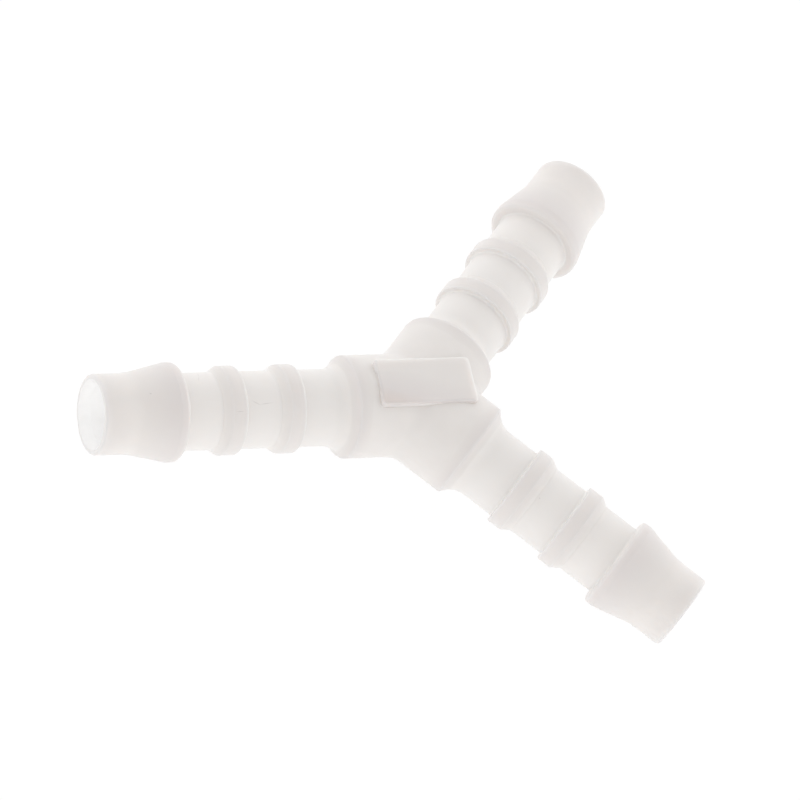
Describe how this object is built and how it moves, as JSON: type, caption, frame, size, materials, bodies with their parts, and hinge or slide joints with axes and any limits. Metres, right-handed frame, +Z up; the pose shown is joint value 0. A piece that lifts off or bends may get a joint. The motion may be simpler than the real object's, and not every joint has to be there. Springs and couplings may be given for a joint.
{
  "type": "tubing y connector",
  "caption": "Moulded plastic Y connector that joins three lengths of flexible tubing; each leg has a nose, an end barb and grip rings.",
  "frame": {"origin": "where the axes of the three bores cross, in the middle of the hub", "axes": "-X along the inlet leg towards its open end; the two branch legs point 45 degrees either side of +X; +Z up through the raised pad, with the part lying flat"},
  "size_m": [0.0612, 0.0538, 0.0106],
  "materials": {
    "natural_plastic": "satin, milky and slightly translucent"
  },
  "bodies": {
    "root": {"y_connector": "natural_plastic"}
  },
  "joints": []
}
